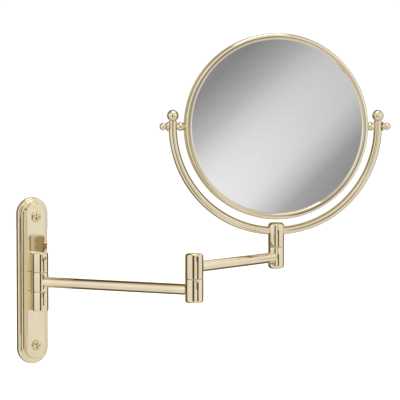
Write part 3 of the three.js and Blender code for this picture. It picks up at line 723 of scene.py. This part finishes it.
# ---------------------------------------------------------------- tilt pivots
# On each side a screw with a ball head passes through a cupped collar, the bar and a barrel bead
# into the rim. All are turned from brass rod. Tightening the ball sets how stiffly the mirror tips.
PIVOT_R = 2.0
PIVOT_TIP = 92.75          # from the mirror's middle to the screw's inner end
PIVOT_BREAK = 0.3
PIVOT_BALL_R = 4.0
COLLAR_R = 5.0
COLLAR_LENGTH = 2.4
COLLAR_CUP = 1.5
COLLAR_BREAK = 0.2
COLLAR_GAP = 0.06
BEAD_R = 4.6
BEAD_END_R = 3.2
BEAD_GAP = 0.15
BEAD_STEPS = 16
PIVOT_FACETS = 72
RIM_R = 100.0
RIM_GAP = 0.3

bar_outside = YOKE_R + YOKE_BAR_R + SNUG
bead_low, bead_high = RIM_R + RIM_GAP, YOKE_R - YOKE_BAR_R - SNUG
seat = bar_outside + COLLAR_LENGTH
reach = math.sqrt(PIVOT_BALL_R ** 2 - PIVOT_R ** 2)
ball_start = -math.degrees(math.acos(PIVOT_R / PIVOT_BALL_R))
belly = []
for i in range(BEAD_STEPS + 1):
    t = i / BEAD_STEPS
    swell = BEAD_END_R + (BEAD_R - BEAD_END_R) * math.sin(math.pi * t)
    belly.append((swell, bead_low + (bead_high - bead_low) * t))

for end, side in (("left", -1), ("right", 1)):
    out = laid(tilt_axis * side, tilt_centre)
    screw = turned(f"pivot_screw_{end}_body", [
        (0, PIVOT_TIP), (PIVOT_R - PIVOT_BREAK, PIVOT_TIP), (PIVOT_R, PIVOT_TIP + PIVOT_BREAK),
        *curve(0, seat + reach, PIVOT_BALL_R, ball_start, 87, 28),
        (0, seat + reach + PIVOT_BALL_R),
    ], PIVOT_FACETS)
    collar = turned(f"pivot_collar_{end}_body", [
        (PIVOT_R + COLLAR_GAP, bar_outside), (COLLAR_R - COLLAR_BREAK, bar_outside),
        (COLLAR_R, bar_outside + COLLAR_BREAK),
        *curve(COLLAR_R - COLLAR_CUP, seat - SNUG - COLLAR_CUP, COLLAR_CUP, 0, 90, 8),
        (PIVOT_R + COLLAR_GAP, seat - SNUG),
    ], PIVOT_FACETS, closed=True)
    bead = turned(f"pivot_bead_{end}_body", [
        (PIVOT_R + BEAD_GAP, bead_low), *belly, (PIVOT_R + BEAD_GAP, bead_high),
    ], PIVOT_FACETS, closed=True)
    for made, node in ((screw, "pivot_screw"), (collar, "pivot_collar"), (bead, "pivot_bead")):
        made.data.transform(out)
        made.data.materials.append(turned_brass)
        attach(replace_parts(made, f"{node}_{end}"), "yoke")


# ---------------------------------------------------------------- mirror rim and rear bezel
# The rim is a spun brass hoop, 200 mm across and 20 mm deep, with a lip turned in over the plain
# glass. The rear bezel, spun the same way, snaps into it behind the magnifying glass.
RIM_HALF_DEPTH = 10.0
RIM_WALL = 1.4
RIM_CORNER = 3.0
RIM_FACETS = 288
LIP_INNER_R = 94.0
LIP_THICKNESS = 2.4
LIP_ROUND = 0.9
LIP_SLOPE = 0.7            # the lip's inner edge slopes in towards the glass
BUSH_HOLE_R = 3.05
BEZEL_SPLIT = 6.6          # where the rim ends and the bezel begins, behind the middle
SPLIT_BREAK = 0.15
BEZEL_FLANGE = 1.0
rim_bore = RIM_R - RIM_WALL
lip_back = RIM_HALF_DEPTH - LIP_THICKNESS
lip_edge = LIP_INNER_R - LIP_SLOPE
faces_room = tilt_axis.cross(tilt_up)
mirror_place = laid(faces_room, tilt_centre)
rim_turn = Matrix((tilt_axis, tilt_up, faces_room)).transposed().to_4x4()


def lip_outline(sign):
    """From the hoop's outer corner round the lip to its inner edge, for the front (+1)."""
    return [(r, sign * h) for r, h in [
        *curve(RIM_R - RIM_CORNER, RIM_HALF_DEPTH - RIM_CORNER, RIM_CORNER, 0, 90, 14),
        (LIP_INNER_R + 1.6, RIM_HALF_DEPTH - 0.02),
        *curve(LIP_INNER_R + LIP_ROUND, RIM_HALF_DEPTH - LIP_ROUND - 0.05, LIP_ROUND, 88, 150, 7),
        (lip_edge, lip_back + 0.3), (lip_edge + 0.2, lip_back),
    ]]


rim = turned("mirror_rim_body", [
    (rim_bore, -BEZEL_SPLIT), (RIM_R - SPLIT_BREAK, -BEZEL_SPLIT),
    (RIM_R, -BEZEL_SPLIT + SPLIT_BREAK), (RIM_R, 0),
    *lip_outline(1), (rim_bore, lip_back),
], RIM_FACETS, closed=True)
hole = turned("hole", [
    (0, -1.1 * RIM_R), (BUSH_HOLE_R, -1.1 * RIM_R), (BUSH_HOLE_R, 1.1 * RIM_R), (0, 1.1 * RIM_R),
], 48)
hole.matrix_world = laid(Vector((1, 0, 0)))
machined(rim, [hole])
rim.matrix_world = Matrix.Translation(tilt_centre) @ rim_turn
spun_brass = polished_brass("spun_brass", buffed=(1, 1, 0.5))
rim.data.materials.append(spun_brass)
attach(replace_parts(rim, "mirror_rim"), "mirror_head")

flange_r = rim_bore - 0.1
flange_front = -BEZEL_SPLIT + 2.35
bezel_front = -BEZEL_SPLIT - SNUG
bezel = turned("rear_bezel_body", [
    (flange_r - BEZEL_FLANGE, flange_front), (flange_r, flange_front), (flange_r, bezel_front),
    (RIM_R - SPLIT_BREAK, bezel_front), (RIM_R, bezel_front - SPLIT_BREAK),
    *lip_outline(-1), (flange_r - BEZEL_FLANGE, -lip_back),
], RIM_FACETS, closed=True)
bezel.matrix_world = mirror_place
bezel.data.materials.append(spun_brass)
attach(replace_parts(bezel, "rear_bezel"), "mirror_head")


# ---------------------------------------------------------------- glasses
# Two discs of 4 mm and 3.4 mm float glass, silvered and painted on the back: a plain one in front
# and a slumped, magnifying one behind. Their edges are ground. A film of dust dulls them a little.
GLASS_THICKNESS = 4.0
GLASS_BREAK = 0.4
GLASS_FACETS = 192
MAGNIFIER_THICKNESS = 3.4
MAGNIFIER_DISH = 4.6       # how much deeper the middle is than the edge
MAGNIFIER_RINGS = 24
FILM = 0.045               # metres between smears of the dusty film
DUST = 0.004
STREAK = 0.0016


def silvered_glass(name):
    """Silver under glass, with a thin smeared film, specks of dust and wiping streaks across it."""
    material, tree = new_material(name)
    place = add(tree, "ShaderNodeTexCoord").outputs["Object"]
    film = add(tree, "ShaderNodeTexNoise", {"Vector": place, "Scale": 1 / FILM, "Detail": 5})
    dust = add(tree, "ShaderNodeTexVoronoi", {"Vector": place, "Scale": 1 / DUST})
    speck = add(tree, "ShaderNodeMapRange", {
        "Value": dust.outputs["Distance"], "From Min": 0.015, "From Max": 0.04,
        "To Min": 0.12, "To Max": 0,
    })
    haze = add(tree, "ShaderNodeMapRange", {
        "Value": film.outputs["Fac"], "To Min": 0.012, "To Max": 0.03,
    })
    rough = add(tree, "ShaderNodeMath", {0: haze.outputs[0], 1: speck.outputs[0]}, operation="ADD")
    wiped = add(tree, "ShaderNodeMapping", {"Vector": place, "Scale": (0.04, 1, 1)})
    streaks = add(tree, "ShaderNodeTexNoise", {
        "Vector": wiped.outputs[0], "Scale": 1 / STREAK, "Detail": 3,
    })
    tint = add(tree, "ShaderNodeValToRGB", {0: streaks.outputs["Fac"]}, [
        (0.3, "F6F6F6"), (0.7, "F9F9F9"),
    ])
    wave = add(tree, "ShaderNodeBump", {
        "Height": film.outputs["Fac"], "Strength": 0.3, "Distance": 0.00001,
    })
    silver = add(tree, "ShaderNodeBsdfPrincipled", {
        "Base Color": tint.outputs[0], "Metallic": 1, "Roughness": rough.outputs[0],
        "Coat Weight": 0.5, "Coat Roughness": 0.02, "Normal": wave.outputs[0],
    })
    add(tree, "ShaderNodeOutputMaterial", {"Surface": silver.outputs[0]})
    return material


mirror_glass = silvered_glass("silvered_glass")
glass_front = lip_back - SNUG
glass_back = glass_front - GLASS_THICKNESS
edge_r = rim_bore - 0.15
glass = turned("plain_glass_body", [
    (0, glass_back), (edge_r - GLASS_BREAK, glass_back), (edge_r, glass_back + GLASS_BREAK),
    (edge_r, glass_front - GLASS_BREAK), (edge_r - GLASS_BREAK, glass_front),
    (60, glass_front), (0, glass_front),
], GLASS_FACETS)
glass.matrix_world = mirror_place
glass.data.materials.append(mirror_glass)
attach(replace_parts(glass, "plain_glass"), "mirror_head")

edge_r = rim_bore - BEZEL_FLANGE - 0.3
sphere = (edge_r ** 2 + MAGNIFIER_DISH ** 2) / (2 * MAGNIFIER_DISH)
polished, silvered = [], []
for i in range(MAGNIFIER_RINGS + 1):
    radius = edge_r * i / MAGNIFIER_RINGS
    dip = sphere - math.sqrt(sphere ** 2 - radius ** 2)
    face = SNUG + MAGNIFIER_DISH - lip_back - dip
    polished.append((radius, face))
    silvered.insert(0, (radius, face + MAGNIFIER_THICKNESS))
magnifier = turned("magnifying_glass_body", polished + silvered, GLASS_FACETS)
magnifier.matrix_world = mirror_place
magnifier.data.materials.append(mirror_glass)
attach(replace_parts(magnifier, "magnifying_glass"), "mirror_head")


# ---------------------------------------------------------------- pins, grub screws and bushes
# Turned brass pieces that hold the hinges together, seen only at the joints and in the holes. Their
# CAD shapes are right as they are. They are oiled, not lacquered, so they are duller and darker.
def finished(node, material):
    """Gives a CAD piece its material."""
    frame["nodes"][node].data.materials.clear()
    frame["nodes"][node].data.materials.append(material)


oiled_brass = polished_brass("oiled_brass", (0.1, 0.1, 1), light="D2BE8A", deep="B9A26A")
for node in (
    "wall_hinge_pin", "elbow_pin", "head_pin", "inner_arm_grub_screw", "elbow_grub_screw",
    "head_grub_screw", "yoke_grub_screw", "pivot_bush_left", "pivot_bush_right",
):
    finished(node, oiled_brass)


# ---------------------------------------------------------------- washers
# Natural nylon washers, punched from 0.8 mm sheet. The sheet is milky white and faintly grained,
# and picks up brass dust from the joints.
NYLON_GRAIN = 0.0006
BRASS_SMUDGE = 0.004


def nylon_sheet():
    """Milky nylon with a fine grain and smudges of brass dust."""
    material, tree = new_material("nylon_sheet")
    place = add(tree, "ShaderNodeTexCoord").outputs["Object"]
    grain = add(tree, "ShaderNodeTexNoise", {
        "Vector": place, "Scale": 1 / NYLON_GRAIN, "Detail": 4,
    })
    smudge = add(tree, "ShaderNodeTexNoise", {
        "Vector": place, "Scale": 1 / BRASS_SMUDGE, "Detail": 2,
    })
    tone = add(tree, "ShaderNodeValToRGB", {0: smudge.outputs["Fac"]}, [
        (0.35, "D9D4C2"), (0.6, "EFECE2"),
    ])
    rough = add(tree, "ShaderNodeMapRange", {
        "Value": grain.outputs["Fac"], "To Min": 0.4, "To Max": 0.6,
    })
    bump = add(tree, "ShaderNodeBump", {
        "Height": grain.outputs["Fac"], "Strength": 0.4, "Distance": 0.00002,
    })
    nylon = add(tree, "ShaderNodeBsdfPrincipled", {
        "Base Color": tone.outputs[0], "Roughness": rough.outputs[0], "IOR": 1.53,
        "Subsurface Weight": 0.15, "Subsurface Scale": 0.001, "Normal": bump.outputs[0],
    })
    add(tree, "ShaderNodeOutputMaterial", {"Surface": nylon.outputs[0]})
    return material


nylon = nylon_sheet()
for node in ("wall_washer_upper", "wall_washer_lower", "elbow_washer", "head_washer"):
    finished(node, nylon)


# ---------------------------------------------------------------- foam spacer
# A ring of black closed-cell foam that keeps the two glasses apart and stops them rattling. Cells
# of about 0.5 mm give it a matt, lightly pitted face.
FOAM_CELL = 0.0005


def cell_foam():
    """Matt black foam, pitted by its cut cells, with painted shade darkening each pit."""
    material, tree = new_material("black_cell_foam")
    place = add(tree, "ShaderNodeTexCoord").outputs["Object"]
    cells = add(tree, "ShaderNodeTexVoronoi", {"Vector": place, "Scale": 1 / FOAM_CELL})
    # The colour is darkest at each cell's middle, where the bump sinks deepest: painted shade in
    # the pits.
    tone = add(tree, "ShaderNodeValToRGB", {0: cells.outputs["Distance"]}, [
        (0.2, "2A2A29"), (0.7, "4A4A48"),
    ])
    bump = add(tree, "ShaderNodeBump", {
        "Height": cells.outputs["Distance"], "Strength": 0.7, "Distance": 0.0001,
    })
    foam = add(tree, "ShaderNodeBsdfPrincipled", {
        "Base Color": tone.outputs[0], "Roughness": 0.9, "Normal": bump.outputs[0],
    })
    add(tree, "ShaderNodeOutputMaterial", {"Surface": foam.outputs[0]})
    return material


finished("glass_spacer", cell_foam())


# ---------------------------------------------------------------- camera
# A 160 mm lens, 1.9 m away, nearly level with the mirror and well round to the left of the plate,
# so that the arms and the mirror show side by side.
CAMERA_AZIMUTH = math.radians(-32.61)
CAMERA_ELEVATION = math.radians(2.642)
CAMERA_DISTANCE = 1.9
CAMERA_LENS = 159.98
AIM_RIGHT = 0.180434
AIM_UP = 0.085825

right = Vector((math.cos(CAMERA_AZIMUTH), math.sin(CAMERA_AZIMUTH), 0))
ahead = Vector((
    -math.sin(CAMERA_AZIMUTH) * math.cos(CAMERA_ELEVATION),
    math.cos(CAMERA_AZIMUTH) * math.cos(CAMERA_ELEVATION),
    -math.sin(CAMERA_ELEVATION),
))
above = right.cross(ahead)
aim = right * AIM_RIGHT + above * AIM_UP
camera_data = bpy.data.cameras.new("camera")
camera_data.lens = CAMERA_LENS
camera_data.sensor_width = 36
camera_data.clip_end = 100
camera = bpy.data.objects.new("camera", camera_data)
camera.location = aim - ahead * CAMERA_DISTANCE
camera.rotation_mode = "QUATERNION"
camera.rotation_quaternion = ahead.to_track_quat("-Z", "Y")
bpy.context.scene.collection.objects.link(camera)
bpy.context.scene.camera = camera


# ---------------------------------------------------------------- studio
# A white tent open to the lens, with a pale floor and one soft lamp overhead. Two flags of brown
# card draw the dark lines in the polished brass, and a graded grey card gives the glass its soft
# slope. The cards show only in reflections.
bpy.context.scene.view_settings.view_transform = "Standard"
level = Vector((ahead.x, ahead.y, 0)).normalized()

# Behind the object the tent is in shade, which draws a dark line round each tube and ball. Straight
# on, low down and to the sides it stays light, and its roof is a little darker than its walls.
world = bpy.data.worlds.new("white_tent")
world.use_nodes = True
tent = world.node_tree
tent.nodes.clear()
look = add(tent, "ShaderNodeTexCoord").outputs["Generated"]


def towards(direction):
    """How far a reflection looks in a direction, -1 to 1."""
    dot = add(tent, "ShaderNodeVectorMath", {0: look, 1: direction}, operation="DOT_PRODUCT")
    return dot.outputs["Value"]


# The shade is centred a little to the left. It narrows away from the horizon, most on the right.
height = add(tent, "ShaderNodeSeparateXYZ", {0: look}).outputs["Z"]
squared = add(tent, "ShaderNodeMath", {0: height, 1: height}, operation="MULTIPLY").outputs[0]
narrowing = add(tent, "ShaderNodeMath", {
    0: towards(right), 1: 0.9, 2: 0.45,
}, operation="MULTIPLY_ADD").outputs[0]
trimmed = add(tent, "ShaderNodeMath", {
    0: squared, 1: narrowing,
}, operation="MULTIPLY").outputs[0]
shaded = add(tent, "ShaderNodeMath", {
    0: towards(level - right * 0.213), 1: trimmed,
}, operation="SUBTRACT").outputs[0]
shade = add(tent, "ShaderNodeValToRGB", {0: shaded}, [
    (0.19, "FFFFFF"), (0.26, "8A7C5E"), (0.45, "5E5236"), (0.70, "6E6248"),
    (0.82, "B9B2A4"), (0.92, "D6D4CF"), (1.0, "BEB28C"),
])
walls = add(tent, "ShaderNodeMapRange", {"Value": height, "From Min": -1, "From Max": 1})
roof = add(tent, "ShaderNodeValToRGB", {0: walls.outputs[0]}, [
    (0.0, "E6E3DC"), (0.45, "F4F2EE"), (0.56, "FFFFFF"),
    (0.78, "FFFFFF"), (0.88, "D6CDB6"), (1.0, "D0C6AC"),
])
toned = add(tent, "ShaderNodeMix", {
    0: 1, 6: roof.outputs[0], 7: shade.outputs[0],
}, data_type="RGBA", blend_type="MULTIPLY")
seen = add(tent, "ShaderNodeLightPath").outputs["Is Camera Ray"]
white = add(tent, "ShaderNodeMix", {
    0: seen, 6: toned.outputs[2], 7: (1, 1, 1, 1),
}, data_type="RGBA")
sky = add(tent, "ShaderNodeBackground", {"Color": white.outputs[2], "Strength": 1.04})
add(tent, "ShaderNodeOutputWorld", {"Surface": sky.outputs[0]})
bpy.context.scene.world = world


def card(name, centre, facing, width, height, surface):
    """A flat card, seen only in reflections, its middle at centre and its face turned that way."""
    bm = bmesh.new()
    bmesh.ops.create_grid(bm, x_segments=1, y_segments=1, size=0.5)
    made = piece_from(name, bm)
    across = Vector((0, 0, 1)).cross(facing).normalized()
    turn = Matrix((across, facing.cross(across), facing)).transposed().to_4x4()
    size = Matrix.Diagonal((width, height, 1, 1))
    made.matrix_world = Matrix.Translation(centre) @ turn @ size
    made.data.materials.append(surface)
    made.visible_camera = False
    made.visible_shadow = False
    made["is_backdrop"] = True


dark_card, tree = new_material("dark_card")
brown = add(tree, "ShaderNodeEmission", {"Color": paint("5A4A28"), "Strength": 1.0})
add(tree, "ShaderNodeOutputMaterial", {"Surface": brown.outputs[0]})

slit_middle = right * 0.095 - level * 0.594 + Vector((0, 0, 0.065))
card("lens_slit", slit_middle, level, 0.21, 0.63, dark_card)
flag_middle = right * 0.585 - level * 0.495 + Vector((0, 0, -0.062))
flag_facing = -(right * 0.76 - level * 0.65).normalized()
card("side_flag", flag_middle, flag_facing, 0.20, 0.18, dark_card)

GLASS_CARD_WIDTH = 0.40
GLASS_CARD_HEIGHT = 0.36
DIAGONAL = 0.7071


def grey_slope(width, height):
    """Grey that climbs from the card's top left to a light band and falls again, lower right."""
    material, tree = new_material("grey_slope")
    place = add(tree, "ShaderNodeTexCoord").outputs["Object"]
    fall = add(tree, "ShaderNodeVectorMath", {
        0: place, 1: (width * DIAGONAL, -height * DIAGONAL, 0),
    }, operation="DOT_PRODUCT")
    along = add(tree, "ShaderNodeVectorMath", {
        0: place, 1: (width * DIAGONAL, height * DIAGONAL, 0),
    }, operation="DOT_PRODUCT")
    across = add(tree, "ShaderNodeMapRange", {
        "Value": fall.outputs["Value"], "From Min": -0.16, "From Max": 0.16,
    })
    dim = add(tree, "ShaderNodeMapRange", {
        "Value": along.outputs["Value"], "From Min": -0.15, "From Max": 0.15,
        "To Min": 1.29, "To Max": 0.90,
    })
    tone = add(tree, "ShaderNodeValToRGB", {0: across.outputs[0]}, [
        (0.126, "898989"), (0.206, "9D9D9D"), (0.286, "B1B1B1"), (0.366, "C8C8C8"),
        (0.445, "D4D4D4"), (0.525, "D8D8D8"), (0.606, "D6D6D6"), (0.686, "D2D2D2"),
        (0.765, "BDBDBD"), (0.845, "9E9E9E"), (0.924, "939393"),
    ])
    light = add(tree, "ShaderNodeEmission", {"Color": tone.outputs[0], "Strength": dim.outputs[0]})
    add(tree, "ShaderNodeOutputMaterial", {"Surface": light.outputs[0]})
    return material


# The glass card stands where the plain glass throws the lens's line of sight, a little lower.
to_lens = (camera.location - tilt_centre).normalized()
mirrored = faces_room * 2 * to_lens.dot(faces_room) - to_lens
mirrored.z = 0
mirrored.normalize()
beside = Vector((0, 0, 1)).cross(mirrored)
glass_card_middle = tilt_centre + mirrored - beside * 0.02 - Vector((0, 0, 0.018))
slope = grey_slope(GLASS_CARD_WIDTH, GLASS_CARD_HEIGHT)
card("glass_card", glass_card_middle, mirrored, GLASS_CARD_WIDTH, GLASS_CARD_HEIGHT, slope)

soft_top = bpy.data.lights.new("soft_top", "AREA")
soft_top.shape = "RECTANGLE"
soft_top.size = 0.6
soft_top.size_y = 0.4
soft_top.energy = 2.2
lamp = bpy.data.objects.new("soft_top", soft_top)
lamp.location = right * 0.25 - level * 0.15 + Vector((0, 0, 1.1))
lamp.rotation_mode = "QUATERNION"
lamp.rotation_quaternion = (aim - lamp.location).to_track_quat("-Z", "Y")
lamp.visible_camera = False
bpy.context.scene.collection.objects.link(lamp)

FLOOR_RADIUS = 6.0
FLOOR_DROP = 0.32          # the floor lies this far below the plate's middle
PAPER_FIBRE = 0.002
bm = bmesh.new()
bmesh.ops.create_circle(bm, cap_ends=True, segments=96, radius=FLOOR_RADIUS)
floor = piece_from("pale_floor", bm)
floor.location.z = -FLOOR_DROP
floor.visible_glossy = False
paper, tree = new_material("white_paper_floor")
fibres = add(tree, "ShaderNodeTexNoise", {
    "Vector": add(tree, "ShaderNodeTexCoord").outputs["Object"],
    "Scale": 1 / PAPER_FIBRE, "Detail": 4,
})
paper_tone = add(tree, "ShaderNodeValToRGB", {0: fibres.outputs["Fac"]}, [
    (0.3, "F4F4F3"), (0.7, "F8F8F7"),
])
paper_face = add(tree, "ShaderNodeBsdfPrincipled", {
    "Base Color": paper_tone.outputs[0], "Roughness": 0.9,
    "Emission Color": (1, 1, 1, 1), "Emission Strength": 0.8,
})
add(tree, "ShaderNodeOutputMaterial", {"Surface": paper_face.outputs[0]})
floor.data.materials.append(paper)
floor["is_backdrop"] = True

low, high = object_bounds()
